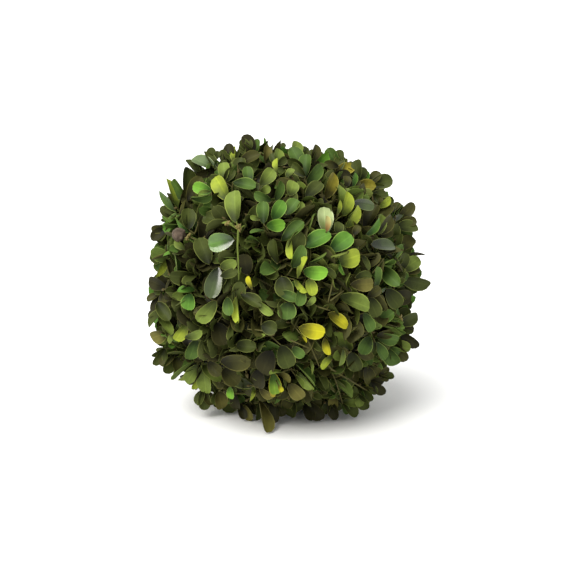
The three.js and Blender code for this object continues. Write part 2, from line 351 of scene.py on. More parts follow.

# Leaves set one by one at the front, by finish. Each is its tip, right of and above the ball's
# middle as seen from the front, its root in the same way, and the width that it shows.
# Each leaf's finish matches its colour where it lies, lit or in shade, so the finishes hold painted
# light and shade as well as the leaves' own tones.
SET_LEAVES = {
    "yellow": [
        (26.8, -33, 10, -29.5, 10), (41.5, -29.5, 29, -20, 7.5), (29, -47, 26.5, -36, 5),
        (15.3, -39, 11, -33.3, 2), (-22.4, 3.3, -19.7, -5.2, 2.6), (-0.3, -70.5, -3, -66, 3),
    ],
    "yellow_green": [
        (49.5, 16, 34.5, 12.7, 11), (18.5, -9.2, 16.9, 1.8, 7.5), (14.8, -7.3, 7.1, 1.2, 4),
        (14.8, 16, 9.2, 2, 2.8), (5.5, 14.2, 3.9, 26.9, 5), (-28.7, -27, -29.8, -9.4, 3.2),
        (-73.4, 66, -66, 45, 7.5), (-42.5, 67, -35, 51.5, 9), (-4.6, 78.4, -3.8, 69, 3),
        (43.4, 56.6, 37.6, 41.5, 6), (36.5, 51.6, 34.4, 42.6, 3), (49.8, 47.1, 39.7, 34.6, 5),
        (24.5, -56, 31.5, -47, 4.5), (-20.5, -77, -19, -67, 3.2), (-57, -69, -54, -61, 4.5),
        (-68.5, -38, -61, -27, 6.5), (-80.3, 2.8, -74, 14.4, 4.5), (68.9, 53.5, 61, 47, 5),
        (-31.4, 86.1, -30.9, 75.5, 3),
    ],
    "bright_green": [
        (1.3, 36.2, -10.7, 35.1, 7.5), (28.6, 4.9, 12.7, 6.5, 8), (29.4, 81.6, 19, 72, 6),
        (-57.7, 60.6, -45.5, 56.9, 7.5), (-33.5, -74.8, -33.5, -67, 5),
    ],
    "vivid_green": [
        (44.2, 29.5, 30, 19.3, 11), (30.6, 30.6, 13.5, 22.6, 10.5), (-61.4, -18.2, -59, -7.5, 9),
        (62.5, 39, 53, 29.5, 3.5), (46.6, 69.1, 43.4, 60, 3), (-67, -5.2, -56, -5.7, 5),
        (-69.4, 40.5, -59.8, 31.4, 3.5), (39, 4, 35, 14.5, 2.5), (-76.6, 16.8, -68.3, 18.4, 1.8),
        (-0.1, 51.6, -6.5, 39.4, 8),
    ],
    "mid_green": [
        (5.2, 85.3, 12.7, 72.3, 9), (14.5, 81.3, 14.3, 66.5, 7.5), (24.9, 73.9, 15.3, 62, 8),
        (28, 84.8, 35.5, 73, 8), (-12.8, 51.1, -12.3, 36.7, 7.5), (13.7, 37.3, -1.1, 25.6, 7),
        (13.7, 22.4, 5.8, 8.3, 7), (10, -15.8, 12.1, -4, 6.5), (13.5, -48, 6, -42, 6),
        (50, -46.5, 55.5, -35, 8.5), (74, -38, 59.5, -34.5, 8), (65, -50, 58.5, -38.5, 6),
        (72, -54, 65, -42, 9), (57, -32, 51.5, -20, 6.5), (-71, -62.3, -51.5, -45, 4.5),
        (21.3, -65.7, 8.5, -52, 3), (-23.2, 73.4, -21.8, 62, 6.5), (-17.6, 60.6, -32, 63.3, 7),
        (-45.2, 53, -59, 52.7, 2.5), (60, 9.5, 59, -5, 4), (-18.6, 55.8, -7, 51.1, 6),
        (-68.9, 17.6, -66.2, 2.8, 3), (-21.3, 31.4, -11.7, 32.5, 1.8), (28.1, 18.2, 16.4, 11.3, 2),
        (9.5, -12.1, -2.5, -6.8, 6.5), (9, 52.5, 2, 42.5, 8), (-0.5, 63.8, -4.8, 51.3, 6),
        (-34.2, -22, -35.4, -10, 7), (2.5, -24.5, 3.5, -13, 11), (-59.5, -50, -55, -37, 9),
    ],
    "light_olive": [
        (-31.6, 58.3, -30.2, 37.4, 9.9), (-37.5, 76.3, -37.5, 63.8, 7.5), (87, 15, 75.5, 7, 9),
        (-6.5, -21, -16.5, -13.5, 5.5), (35.8, -54, 38.5, -42, 2.4), (19, -69.5, 9.5, -57, 4.5),
        (13, -68, 8, -60, 2), (-2.2, 84.5, -3.8, 74, 7), (10, 89.4, 7.4, 79, 7.5),
        (37.6, 61.2, 36.5, 44.7, 5), (-29.6, 12.8, -40, 8.6, 7), (55.5, -16.5, 35.5, -9.5, 8.5),
        (7.5, 64, 4, 54.5, 8), (6.5, 72, 2, 66.5, 4.5), (-11.5, -34.2, -18.5, -37.4, 2.2),
        (-71, -33.5, -79, -22, 6), (19, -59.5, 17.5, -50, 2), (-21, 41.5, -14.5, 39.5, 3),
        (88, 3.5, 76, 5, 4), (-5.4, 71.2, -14.4, 61.2, 8.5), (-8, 59.6, -14.4, 56.9, 5),
        (30.5, 15.5, 42, 19, 1.5), (-9, -58.2, 0, -57.5, 1.5), (-73, -39, -69, -33, 4),
        (20.6, -10, 15.3, -15.8, 3.5), (12.8, 50.5, 8.5, 43, 4.5), (-54.2, -26, -42.5, -12.4, 9),
        (-51.5, -32.5, -62.5, -36, 4.5), (-38.9, 37.8, -30.1, 34.6, 1.5),
        (-69.5, 26.1, -62, 20.3, 4.5), (-62, -65, -54, -53, 8), (-49.5, -71, -51, -53, 10),
    ],
    "ochre": [
        (45.8, 73.9, 32.8, 68.5, 8.5), (33.3, 68.3, 27, 52.7, 8), (-7, -73.8, -5.5, -69, 3),
    ],
    "khaki": [
        (12.5, -75, 3.5, -65, 9), (-9.2, -94, -15, -74.5, 4.5), (58, -2, 43, -2, 8.5),
        (-7, -75, -15, -68, 5), (31.5, -81, 33, -72, 6.5), (-19.5, -88, -27, -78, 7),
        (-9.5, 86.5, -11, 75, 6), (5, -64, -3, -58, 3.5), (-38.6, -81.7, -41, -70, 9),
        (-84.2, -36.5, -74, -33, 9),
    ],
    "deep_olive": [
        (-61.4, 77.9, -53, 67, 4), (-46.8, 85.3, -43.5, 77, 6), (70, 64.9, 55.1, 61.7, 9.5),
        (46.1, 77.9, 47.7, 64, 9), (85.9, 35.1, 73, 34.6, 9), (93.1, -3, 75, 2, 9.5),
        (86.5, -22, 73, -27, 8.5), (53.5, -81.7, 48, -72, 8), (47.5, -85.8, 38, -76, 7),
        (71, -60.3, 61, -60, 4.5), (3.4, -86, 6, -74, 11), (-50.3, -82.2, -50.5, -69, 8.5),
        (-75, -58.8, -69, -46, 8), (-83, -53, -75, -43, 5), (-86.8, -27.8, -76, -18, 4.5),
        (-59.8, 72.3, -61, 51, 10), (-60.5, 46.8, -60, 33, 9.5), (24.9, 63.3, 14.3, 53.7, 8.5),
        (11.6, 31.7, 4.2, 15, 10), (2.1, -10.5, -1.1, 3.3, 11), (-13.9, -15.3, -27, -7.9, 7),
        (-29, 6, -40, 3.3, 6), (-7, 26.9, -3.8, 11.3, 5.5), (73.5, -17, 66, -4.5, 10),
        (56.5, 4.5, 46, 2.5, 5), (33.5, 2, 26, 9, 5), (-4, -31, -14, -28, 9),
        (-17, -42, -30, -40.5, 8), (3, -55.5, -1.5, -40.5, 11), (-72.5, -25, -80, -13, 8),
        (-52.9, 28, -47.1, 10.7, 10.5), (-27.1, 90.3, -21.8, 83.4, 6), (15.6, 83.9, 12.1, 76, 4),
        (36.5, 80.4, 38.7, 73, 5), (66.5, 55.8, 57, 55.3, 6), (-25, 25.6, -14.9, 24.5, 3),
        (54.7, 7, 50.5, 17, 4), (59.5, -23, 55, -9.5, 8.5), (48.2, -57.2, 43, -45, 9),
        (36.5, 37.8, 34.4, 30.4, 6), (57, -76, 49, -68, 6),
    ],
    "brown_olive": [
        (-72, 57, -65, 40, 5), (-15, 81.5, -29, 75, 7), (23, 86.9, 18, 76, 5.5),
        (69.5, 49.5, 52, 33.5, 11), (83.8, 49.7, 73, 37.8, 8), (84, 28, 71.5, 19.5, 9),
        (78.5, -51, 69, -39, 8), (55.5, -50, 49, -41, 8), (-40, -60, -48, -51, 8),
        (70, 41.5, 61, 30, 8), (62.5, -4.5, 54, -10, 6), (74.5, 50.5, 69, 44, 5),
        (40.8, 67.5, 40.8, 60.1, 5), (48.7, 35.7, 45, 29.8, 5), (-16.5, -84.5, -20, -78, 4),
        (-26.5, -48, -21, -52, 4), (-29, -66, -38, -55, 11), (-21, -50.5, -40, -51.5, 11),
        (56, -66, 53, -54, 8.5),
    ],
    # Very dark leaves, partly painted deep shade for leaves in the shade of others
    "umber": [
        (-33.8, 88.2, -34.9, 74, 8), (-24.5, 93.8, -18, 81, 8), (90.6, 18, 76, 15.5, 2.5),
        (82.3, -11, 70, -9, 10), (86.8, -41.5, 72, -32, 8), (65.3, -71.5, 55, -64, 7),
        (33.7, -88, 30, -76, 7), (25, -87.5, 14, -77, 9), (-4.8, -89.5, -5.5, -75, 8),
        (-29.5, -82, -31, -71, 7), (-14, -58, -7, -44, 13), (-38.5, -41, -42, -26, 12),
        (-83.2, -20.6, -78, -7.3, 6), (-86.1, 0.6, -74, -3.6, 8), (-84.5, 27.2, -74, 34.1, 7),
        (-24.5, 17.6, -22.9, 4, 10), (-16, -68, -15, -56, 10),
    ],
    "glossy_green": [(-47.9, 24, -31.2, 26.6, 11.5)],
    "glossy_olive": [
        (72.1, 22.4, 56, 23.5, 8), (58.3, 47.6, 45, 50.5, 7), (77.4, 47.4, 68, 38, 5),
        (-47.3, -10.5, -41, 9.3, 10.5),
    ],
    "sage": [(26.2, 47.6, 27.2, 30.4, 10)],
    "cream": [(28.4, 42, 27.8, 31.5, 4)],
    "burnt_tip": [(-4.5, -72.5, -6.5, -58, 8)],
    # Painted sheen: this leaf's grey-green stands for the sky mirrored on a glossy green leaf
    "grey_green": [(-57.2, 79.7, -42.3, 71, 7.5)],
}
# How far the tips of set leaves lie in from the outline, by finish. The dull ones lie deeper.
SET_DEPTHS = {
    "umber": 5,
    "deep_olive": 3,
    "brown_olive": 3.5,
    "khaki": 2.5,
    "yellow": 0.4,
    "cream": 0,
    "grey_green": 0,
}
SET_DEPTH = 1.2
SET_SINK = 0.3  # share of the length that shows by which a root lies farther in than its tip
SET_STEEPEST = 0.5  # most that a root lies nearer or farther than its tip, as such a share
FULL_WIDTH = 0.5  # of a leaf as a share of its length. One that shows less is rolled over.
SET_ROLLS = (6, 30)  # least and most that a set leaf is rolled over in any case, in degrees
GLOSSY_ROLLS = (0, 4)  # the same for those that mirror the window
DARKEST_SET_TONE = 0.35
DEPTH_STEPS = 4  # in which the crown's depth at a place is found
FLOOR_STEPS = 4  # in which the tip of a set leaf comes forward until it clears the floor
COVER_ROOM = 1.2  # a grown leaf this far behind a set one or in front of it gives way
COVER_MARGIN = 0.2  # to either side of a set leaf
COVER_PAST = 1.02  # share of its length, past its tip
BACK_STEPS = 3
LEAF_BACK_STEP = 4  # by which a leaf moves in along its twig in one step
BACK_STEP = 0.22  # share of a twig by which it is drawn back in one step
EDGE_FROM = 80  # farther out than this, set leaves have others beside them and over their roots
EDGE_COVER = 0.45  # share of a set leaf's length that those over its root may cover
BESIDE_TURN = 34  # degrees between a leaf at the outline and one beside it
BESIDE_TURN_SPREAD = 24
BESIDE_SIZE = 0.76  # of a leaf beside another, as a share of the other's
BESIDE_SIZE_SPREAD = 0.2
BESIDE_LEAST_WIDTH = 5
BESIDE_DEPTH = 4  # farther in

# Bare twigs at the front: both ends, right and up, and the radius at each
BARE_TWIGS = [
    (64, 14, 57, 5.2, 0.55, 0.45), (32, 0.5, 28.5, -14, 0.5, 0.4),
    (38.5, -6, 30, -12.5, 0.4, 0.5), (17, -40, 23, -54, 0.5, 0.4),
    (5, -37.5, 17.5, -43, 0.45, 0.5), (23, -16.5, 30, -18.5, 0.5, 0.4),
    (31, -56, 53.5, -69.5, 0.5, 0.4), (34, -64.5, 38, -78, 0.4, 0.35),
    (-22.5, -30.5, -13, -31.5, 0.4, 0.5),
]
BARE_DEPTH = 4  # in from the outline
BARE_DIVE = 9  # farther in, where a bare twig's near end leaves the view
BARE_BACK = 0.2  # share of its length by which it carries on past that end
BARE_CLEAR = 1.4  # width that is kept clear of leaves for it
# The one bare stem that stands clear of the leaves: its places and radii from its forked end
BARE_STEM = [(-28.5, 33, 0.7), (-29.0, 22, 0.6), (-28.4, 11, 0.5), (-28.2, 1, 0.4)]
STEM_ARMS = [(-24.5, 35.6, 0.35), (-33.5, 36.2, 0.4), (-29.6, 38, 0.4)]
STEM_OUT, ARMS_OUT = 1, 0.5  # past the outline
ARM_SHARE = 0.9  # of the stem's radius, where an arm leaves it
STEM_CLEAR = 3
# Knots of small buds at the front: right, up, how far in from the outline, how many
BUD_KNOTS = [(-28.5, 34, -1, 11), (-60.2, 28.3, 1, 8), (75, -23, 1, 4), (-36, 36.8, -0.5, 4)]
KNOT_LEAN = 0.3  # least lean of a bud away from the front, in radians. The most is 1 more.
KNOT_STALK_RADIUS = 0.5
TWIG_SIDES, STEM_SIDES = 6, 8
BUD_SIZES = (0.8, 1.3)
BUD_SUNK = 0.3  # into its twig's tip
# The one seed capsule: right, up, its depth in from the outline and its radius
CAPSULE = (-66.3, 29.6, 1.5, 4.3)
CAPSULE_FACING = (0.4, 0.3)  # to the right and up, as a share of what it faces the front
HORN_COUNT = 3
HORN_TURN = 0.5  # of the first horn round the capsule, in radians
HORN_WAY = (0.75, 0.66)  # parts of a horn's direction, along the capsule's axis and off it
HORN_RISE = 1.3
HORN_SPREAD = 0.02  # the lower, the sharper
CAPSULE_FINENESS, CORE_FINENESS = 4, 5  # of the balls that these are made from
# Lumps: how many to the radius, and their height
HUSK_LUMPS = [(2.5, 0.5), (8, 0.2)]
MOSS_LUMPS = [(9, 3), (30, 1.5)]


def deal_finish(direction, draw):
    """A spray's finish: mostly green at the ball's top, with more brown towards its foot."""
    height = (direction.z + 1) / 2
    shares = FRONT_SHARES if direction.dot(FRONT) > FRONT_FROM else FINISH_SHARES
    lot = draw()
    for name, (at_top, at_foot) in shares.items():
        lot -= at_foot + (at_top - at_foot) * height
        if lot < 0:
            return name
    return name


def grow_leaves(twigs):
    """Every leaf of some twigs, as a dict of its frame, size, form, tone and finish."""
    leaves = []
    for fork, tip, draw in twigs:
        along = (tip - fork).normalized()
        start = draw() * math.pi
        finish = deal_finish(tip.normalized(), draw)
        for p, (back, splay, share) in enumerate(LEAF_PAIRS):
            for half in (0, 1):
                size = share * (1 + spread(draw, SIZE_SPREAD))
                length = size * LEAF_LENGTH
                width = size * LEAF_WIDTH * (1 + spread(draw, WIDTH_SPREAD))
                lean = math.radians(splay + spread(draw, SPLAY_SPREAD))
                roll = math.radians(spread(draw, ROLL_SPREAD))
                turn = math.radians(spread(draw, TURN_SPREAD))
                around = start + p * math.pi / 2 + half * math.pi + turn
                root = tip - along * back
                pointing = leaning(along, lean, around)
                leaf = laid_down(root, pointing, along, roll, length, width)
                end = leaf @ Vector((length, 0, 0))
                way = end.normalized()
                past = end.length - reach(way) + dip(way) - REACH_MARGIN
                if past > 0:
                    leaf = Matrix.Translation(-way * past) @ leaf
                corners = leaf_corners(leaf, length, width)
                form, tone = int(draw() * LEAF_FORMS), draw()
                own = deal_finish(tip.normalized(), draw) if draw() < ODD_LEAVES else finish
                if min(corner.length for corner in corners) < CORE_RADIUS + CORE_MARGIN:
                    continue
                size = (length / LEAF_LENGTH, width / LEAF_WIDTH, size)
                leaf = dict(frame=leaf, size=size, form=form, tone=tone, finish=own)
                leaves.append(leaf | dict(along=along))
    return leaves


def front_depth(right, up, depth_in):
    """How far in front of the ball's middle the crown lies at a place, depth_in inside it."""
    depth = 0
    for _ in range(DEPTH_STEPS):
        way = (RIGHT * right + FRONT_UP * up + FRONT * depth).normalized()
        radius = reach(way) - dip(way) - depth_in
        depth = math.sqrt(max(radius * radius - right * right - up * up, 0))
    return depth


def front_place(right, up, depth):
    """The point that shows right of and above the ball's middle, depth in front of it."""
    nearness = 1 - depth * MM / CAMERA_DISTANCE
    return (RIGHT * right + FRONT_UP * up) * nearness + FRONT * depth


def on_crown(right, up, depth_in):
    """The point that shows there on the crown, depth_in inside it."""
    return front_place(right, up, front_depth(right, up, depth_in))


def set_leaf(place, depth_in, rolls, draw):
    """One set leaf: its dict as for a grown one, with where it shows as well."""
    tip_right, tip_up, root_right, root_up, width = place
    shown = math.hypot(tip_right - root_right, tip_up - root_up)
    tip_depth = front_depth(tip_right, tip_up, depth_in)
    root_depth = front_depth(root_right, root_up, depth_in + SET_SINK * shown)
    steepest = SET_STEEPEST * shown
    root_depth = min(max(root_depth, tip_depth - steepest), tip_depth + steepest)
    tip = front_place(tip_right, tip_up, tip_depth)
    root = front_place(root_right, root_up, root_depth)
    side = 1 if draw() < 0.5 else -1
    least = math.radians(rolls[0] + (rolls[1] - rolls[0]) * draw())
    for _ in range(FLOOR_STEPS):
        length = (tip - root).length
        full = max(width / math.cos(least), FULL_WIDTH * length)
        leaf = leaf_frame(root, tip - root, FRONT, side * math.acos(width / full))
        lowest = min(corner.z for corner in leaf_corners(leaf, length, full))
        sunk = max(LEAF_SAG - lowest - CENTRE_HEIGHT, 0)
        tip += FRONT * sunk / FRONT.z
    return dict(
        frame=leaf,
        size=(length / LEAF_LENGTH, full / LEAF_WIDTH, length / LEAF_LENGTH),
        form=int(draw() * LEAF_FORMS),
        tone=DARKEST_SET_TONE + (1 - DARKEST_SET_TONE) * draw(),
        place=place,
        depths=(root_depth, tip_depth),
    )


def beside_place(place, side, draw):
    """The place of the leaf beside one that stands at the outline, on the same twig."""
    tip_right, tip_up, root_right, root_up, width = place
    turn = side * math.radians(BESIDE_TURN + spread(draw, BESIDE_TURN_SPREAD))
    size = BESIDE_SIZE + spread(draw, BESIDE_SIZE_SPREAD)
    way = Matrix.Rotation(turn, 2) @ Vector((tip_right - root_right, tip_up - root_up)) * size
    width = max(width, BESIDE_LEAST_WIDTH) * size
    return (root_right + way.x, root_up + way.y, root_right, root_up, width)


def set_leaves():
    """Every set leaf, and the ones beside those at the outline."""
    draw = seeded(SET_SEED)
    for finish, places in SET_LEAVES.items():
        depth_in = SET_DEPTHS.get(finish, SET_DEPTH)
        rolls = GLOSSY_ROLLS if finish.startswith("glossy") else SET_ROLLS
        for place in places:
            yield set_leaf(place, depth_in, rolls, draw) | dict(finish=finish)
            if math.hypot(*place[:2]) > EDGE_FROM:
                for side in (-1, 1):
                    beside = beside_place(place, side, draw)
                    own = deal_finish(FRONT, draw)
                    leaf = set_leaf(beside, depth_in + BESIDE_DEPTH, SET_ROLLS, draw)
                    yield leaf | dict(finish=own)


# Places on a leaf that are looked at for whether it covers another: along and across it
COVER_PLACES = [(0.3, 0), (0.6, 0), (0.85, 0), (1, 0)]
COVER_PLACES += [(along, side * 0.42) for along in (0.45, 0.65, 0.85) for side in (-1, 1)]


def covering(points, kept_clear):
    """Which rows of points cover or cross what is set at the front, as an array."""
    depth = points @ np.array(FRONT)
    nearness = 1 - depth * MM / CAMERA_DISTANCE
    right, up = points[..., 0] / nearness, points @ np.array(FRONT_UP) / nearness
    covers = np.zeros(len(points), bool)
    for place, (root_depth, tip_depth) in kept_clear:
        tip_right, tip_up, root_right, root_up, width = place
        way = np.array((tip_right - root_right, tip_up - root_up))
        shown = np.hypot(*way)
        way = way / shown
        along = ((right - root_right) * way[0] + (up - root_up) * way[1]) / shown
        across = abs((up - root_up) * way[0] - (right - root_right) * way[1])
        half = width / 2 * np.sqrt(np.clip(1 - (2 * along - 1) ** 2, 0, 1)) + COVER_MARGIN
        first = EDGE_COVER if math.hypot(tip_right, tip_up) > EDGE_FROM else 0
        inside = (along > first) & (along < COVER_PAST) & (across < half)
        behind = root_depth + (tip_depth - root_depth) * along - COVER_ROOM
        covers |= (inside & (depth > behind)).any(axis=1)
    return covers


def places_on(leaves, places):
    """Places on each leaf, given as shares of its length and of its width, as an array."""
    points = []
    for leaf in leaves:
        length, width = leaf["size"][0] * LEAF_LENGTH, leaf["size"][1] * LEAF_WIDTH
        points.append([leaf["frame"] @ Vector((x * length, y * width, 0)) for x, y in places])
    return np.array(points)


def uncovering(leaves, kept_clear):
    """The grown leaves, farther in on their twigs or left out where they'd cover a set one."""
    for _ in range(BACK_STEPS):
        for i in np.flatnonzero(covering(places_on(leaves, COVER_PLACES), kept_clear)):
            leaf = leaves[i]
            back = Matrix.Translation(-leaf["along"] * LEAF_BACK_STEP)
            leaves[i] = leaf | dict(frame=back @ leaf["frame"])
    points = places_on(leaves, COVER_PLACES)
    covers = covering(points, kept_clear)
    sunk = np.linalg.norm(points, axis=2).min(axis=1) < CORE_RADIUS + CORE_MARGIN
    return [leaf for leaf, left_out in zip(leaves, covers | sunk) if not left_out]


def drawn_back(twigs, kept_clear):
    """The twigs, with those that cover what is set at the front drawn back along themselves."""
    for _ in range(BACK_STEPS):
        ends = []
        for fork, tip, _ in twigs:
            bud_end = tip + (tip - fork).normalized() * BUD_ROOM
            ends.append([bud_end, tip, fork.lerp(tip, TWIG_END)])
        for i in np.flatnonzero(covering(np.array(ends), kept_clear)):
            fork, tip, draw = twigs[i]
            twigs[i] = (fork, tip + (fork - tip) * BACK_STEP, draw)
    return twigs


# Meshes


def in_scene(name, data):
    """A new object in the scene that holds a mesh, a light or the camera."""
    made = bpy.data.objects.new(name, data)
    bpy.context.scene.collection.objects.link(made)
    return made


def new_mesh(name, points, faces, edges=()):
    """A mesh from points in metres."""
    mesh = bpy.data.meshes.new(name)
    mesh.from_pydata(points, edges, faces)
    return mesh


def placed_mesh(name, points, edges=()):
    """A mesh from points in millimetres about the ball's centre."""
    return new_mesh(name, [CENTRE + Vector(point) * MM for point in points], [], edges)


def store(mesh, name, kind, domain, values):
    """Keeps one value for each point or face of a mesh as a named attribute."""
    attribute = mesh.attributes.new(name, kind, domain)
    field = "vector" if kind == "FLOAT_VECTOR" else "value"
    attribute.data.foreach_set(field, np.asarray(values).ravel())


STATIONS = (0, 0.13, 0.31, 0.5, WIDEST_AT, 0.84, 0.95, 1)  # along a leaf, root to tip
LINES = (-1, -0.5, 0, 0.5, 1)  # across it, from edge to edge
UPPER, UNDER = 0, 1
FIRST_FORM_SEED = 70
# What the forms of leaf differ by: its middle value, and its width from least to most
CUP = (2.2, 2.0)  # rise of the edges over the rib
RIB_SHARE = 0.2  # of the cup, by which the rib lies lower
BEND = (1.0, 5.0)  # drop of the tip
BEND_FROM = 0.35  # share of the length
TWIST = (0, 36)  # degrees from root to tip
SKEW = (0, 1.6)  # of the tip to one side
TAPER = (0.48, 0.16)  # the higher, the slimmer towards the root
BLUNTNESS = (2.5, 0.8)  # the higher, the rounder the tip
WIDEST_PLACES = (0.5, 0.55, 0.6, 0.65, 0.7)  # one of which is the widest
STALK_WIDTH = 0.07  # share of the width


def half_width(along, taper, blunt):
    """Half the width of a leaf of width 1 at a place along it: narrow at its root, blunt ahead."""
    here, *widest = (t**taper * math.sqrt(1 - t**blunt) for t in (along, *WIDEST_PLACES))
    return 0.5 * max(here / max(widest), STALK_WIDTH * (1 - along))


def leaf_form(form):
    """One form of leaf, along +X in metres: cupped, bent and twisted by its own amounts."""
    draw = seeded(FIRST_FORM_SEED + form)
    amounts = [middle + spread(draw, width) for middle, width in (CUP, BEND, TWIST, SKEW)]
    cup, bend, twist, skew = amounts
    twist = math.radians(twist)
    taper, blunt = (middle + spread(draw, width) for middle, width in (TAPER, BLUNTNESS))
    corners, faces, sides = {}, [], []

    def corner(i, across, lower):
        along = STATIONS[i]
        at_tip, at_edge = along == 1, abs(across) == 1
        across = 0 if at_tip else across
        lower = lower and not (at_tip or at_edge)
        if (i, across, lower) not in corners:
            side = across * 2 * half_width(along, taper, blunt)
            y = 0.5 * side * LEAF_WIDTH
            z = cup * (side * side - RIB_SHARE * (1 - abs(across)))
            z -= bend * (along - BEND_FROM) ** 2
            z += y * math.sin(twist * along)
            if lower:
                z -= LEAF_THICKNESS * (1 - across * across)
            place = (along * LEAF_LENGTH, y + skew * along * along, z)
            corners[i, across, lower] = len(corners), Vector(place) * MM, along, across
        return corners[i, across, lower][0]

    def strips(lower):
        for i in range(len(STATIONS) - 1):
            for left, right in zip(LINES, LINES[1:]):
                places = ((i, right), (i + 1, right), (i + 1, left), (i, left))
                ring = [corner(j, across, lower) for j, across in places]
                ring = [c for n, c in enumerate(ring) if c != ring[n - 1]]
                faces.append(ring[::-1] if lower else ring)
                sides.append(UNDER if lower else UPPER)

    strips(False)
    strips(True)
    cut = [corner(0, across, False) for across in LINES]
    faces.append(cut + [corner(0, across, True) for across in LINES[-2:0:-1]])
    sides.append(UNDER)
    places = [place for _, place, _, _ in corners.values()]
    mesh = new_mesh(f"leaf_form_{form}", places, faces)
    store(mesh, "along", "FLOAT", "POINT", [along for _, _, along, _ in corners.values()])
    store(mesh, "across", "FLOAT", "POINT", [across for _, _, _, across in corners.values()])
    store(mesh, "side", "INT", "FACE", sides)
    mesh.shade_smooth()
    touching = {}
    for polygon, side in zip(mesh.polygons, sides):
        for key in polygon.edge_keys:
            touching.setdefault(key, set()).add(side)
    for edge in mesh.edges:
        edge.use_edge_sharp = len(touching[edge.key]) > 1
    return bpy.data.objects.new(mesh.name, mesh)


BUD_RINGS = [(0, 0.45), (0.9, 0.95), (2.0, 0.55)]  # along a bud, and its radius there
BUD_LENGTH = 2.9


def bud_form():
    """A bud at a twig's tip, along +X in metres: a slim egg of four sides."""
    quarters = [math.pi / 2 * i for i in range(4)]
    points = [(x, r * math.cos(a), r * math.sin(a)) for x, r in BUD_RINGS for a in quarters]
    points.append((BUD_LENGTH, 0, 0))
    top = 4 * (len(BUD_RINGS) - 1)
    sides = [(0, 1), (1, 2), (2, 3), (3, 0)]
    faces = [[3, 2, 1, 0]]
    for low in range(0, top, 4):
        faces += [[low + i, low + j, low + j + 4, low + i + 4] for i, j in sides]
    faces += [[top + i, top + j, top + 4] for i, j in sides]
    mesh = new_mesh("bud_form", [Vector(point) * MM for point in points], faces)
    mesh.shade_smooth()
    return bpy.data.objects.new("bud_form", mesh)


# Nodes

READ = "GeometryNodeInputNamedAttribute"


def add_node(tree, kind, inputs=None, **settings):
    """Adds a node. Each input is a value, or the socket of another node that feeds it."""
    made = tree.nodes.new(kind)
    for name, value in settings.items():
        setattr(made, name, value)
    for name, value in (inputs or {}).items():
        if isinstance(value, bpy.types.NodeSocket):
            tree.links.new(value, made.inputs[name])
        else:
            made.inputs[name].default_value = value
    return made


def geometry_tree(name, sockets):
    """An empty Geometry Nodes tree with named inputs, and its input and output nodes."""
    tree = bpy.data.node_groups.new(name, "GeometryNodeTree")
    tree.interface.new_socket("Geometry", in_out="INPUT", socket_type="NodeSocketGeometry")
    for label, kind in sockets:
        tree.interface.new_socket(label, in_out="INPUT", socket_type=kind)
    tree.interface.new_socket("Geometry", in_out="OUTPUT", socket_type="NodeSocketGeometry")
    entry = add_node(tree, "NodeGroupInput")
    return tree, entry.outputs, add_node(tree, "NodeGroupOutput")


def spray_tree():
    """Sets one of the forms on every point, turned and sized by the point's attributes."""
    sockets = [
        ("Forms", "NodeSocketCollection"),
        ("Upper", "NodeSocketMaterial"),
        ("Underside", "NodeSocketMaterial"),
    ]
    tree, given, result = geometry_tree("spray", sockets)
    read = {}
    kinds = {"form": "INT", "turn": "QUATERNION", "size": "FLOAT_VECTOR", "side": "INT"}
    for name, kind in kinds.items():
        node = add_node(tree, READ, {"Name": name}, data_type=kind)
        read[name] = node.outputs["Attribute"]
    inputs = {"Collection": given["Forms"], "Separate Children": True, "Reset Children": True}
    forms = add_node(tree, "GeometryNodeCollectionInfo", inputs)
    inputs = {"Points": given["Geometry"], "Instance": forms.outputs[0], "Pick Instance": True}
    inputs |= {"Instance Index": read["form"], "Rotation": read["turn"], "Scale": read["size"]}
    placed = add_node(tree, "GeometryNodeInstanceOnPoints", inputs)
    made = add_node(tree, "GeometryNodeRealizeInstances", {"Geometry": placed.outputs[0]})
    for number, label in ((UPPER, "Upper"), (UNDER, "Underside")):
        inputs = {2: read["side"], 3: number}
        chosen = add_node(tree, "FunctionNodeCompare", inputs, data_type="INT", operation="EQUAL")
        inputs = {"Geometry": made.outputs[0], "Selection": chosen.outputs[0]}
        made = add_node(tree, "GeometryNodeSetMaterial", inputs | {"Material": given[label]})
    tree.links.new(made.outputs[0], result.inputs[0])
    return tree


def twig_tree():
    """Turns edges into round tapering twigs, as thick at each point as its radius says."""
    sockets = [("Sides", "NodeSocketInt"), ("Bark", "NodeSocketMaterial")]
    tree, given, result = geometry_tree("twigs", sockets)
    radius = add_node(tree, READ, {"Name": "radius"}, data_type="FLOAT")
    curve = add_node(tree, "GeometryNodeMeshToCurve", {"Mesh": given["Geometry"]})
    inputs = {"Resolution": given["Sides"], "Radius": 1.0}
    ring = add_node(tree, "GeometryNodeCurvePrimitiveCircle", inputs)
    inputs = {"Curve": curve.outputs[0], "Profile Curve": ring.outputs[0], "Fill Caps": True}
    inputs |= {"Scale": radius.outputs["Attribute"]}
    tube = add_node(tree, "GeometryNodeCurveToMesh", inputs)
    whole = add_node(tree, "GeometryNodeRealizeInstances", {"Geometry": tube.outputs[0]})
    inputs = {"Geometry": whole.outputs[0], "Material": given["Bark"]}
    made = add_node(tree, "GeometryNodeSetMaterial", inputs)
    tree.links.new(made.outputs[0], result.inputs[0])
    return tree


def grown(name, seeds, tree, inputs):
    """Runs a tree on a mesh and keeps the result as a plain mesh object of that name."""
    seed_object = in_scene(f"{name}_seeds", seeds)
    modifier = seed_object.modifiers.new("growth", "NODES")
    modifier.node_group = tree
    identifiers = {
        item.name: item.identifier
        for item in tree.interface.items_tree
        if item.item_type == "SOCKET" and item.in_out == "INPUT"
    }
    for label, value in inputs.items():
        modifier[identifiers[label]] = value
    evaluated = seed_object.evaluated_get(bpy.context.evaluated_depsgraph_get())
    mesh = bpy.data.meshes.new_from_object(evaluated)
    mesh.name = name
    seed_object.modifiers.remove(modifier)
    bpy.data.objects.remove(seed_object)
    return in_scene(name, mesh)


# Materials


